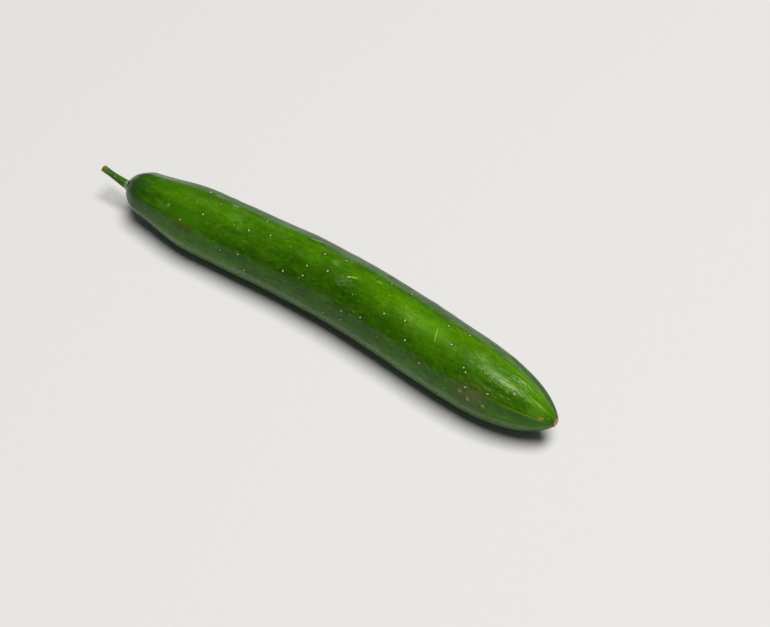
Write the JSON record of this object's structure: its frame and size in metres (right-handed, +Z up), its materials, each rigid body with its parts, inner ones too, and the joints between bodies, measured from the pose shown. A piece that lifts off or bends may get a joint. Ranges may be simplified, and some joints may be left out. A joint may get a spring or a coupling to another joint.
{
  "type": "cucumber",
  "caption": "Slim slightly bowed cucumber with low spined warts, shallow ribs, a corky blossom scar and a short cut stalk, lying on its side.",
  "frame": {"origin": "on the surface that the fruit lies on, under the middle of the whole length and width", "axes": "+X from the stem end to the blossom end, +Y towards the outer side of the bow, +Z up"},
  "size_m": [0.224, 0.0342, 0.0287],
  "materials": {
    "fruit_skin": "satin",
    "stalk_skin": "matte"
  },
  "bodies": {
    "root": {"fruit": "fruit_skin", "stalk": "stalk_skin"}
  },
  "joints": []
}
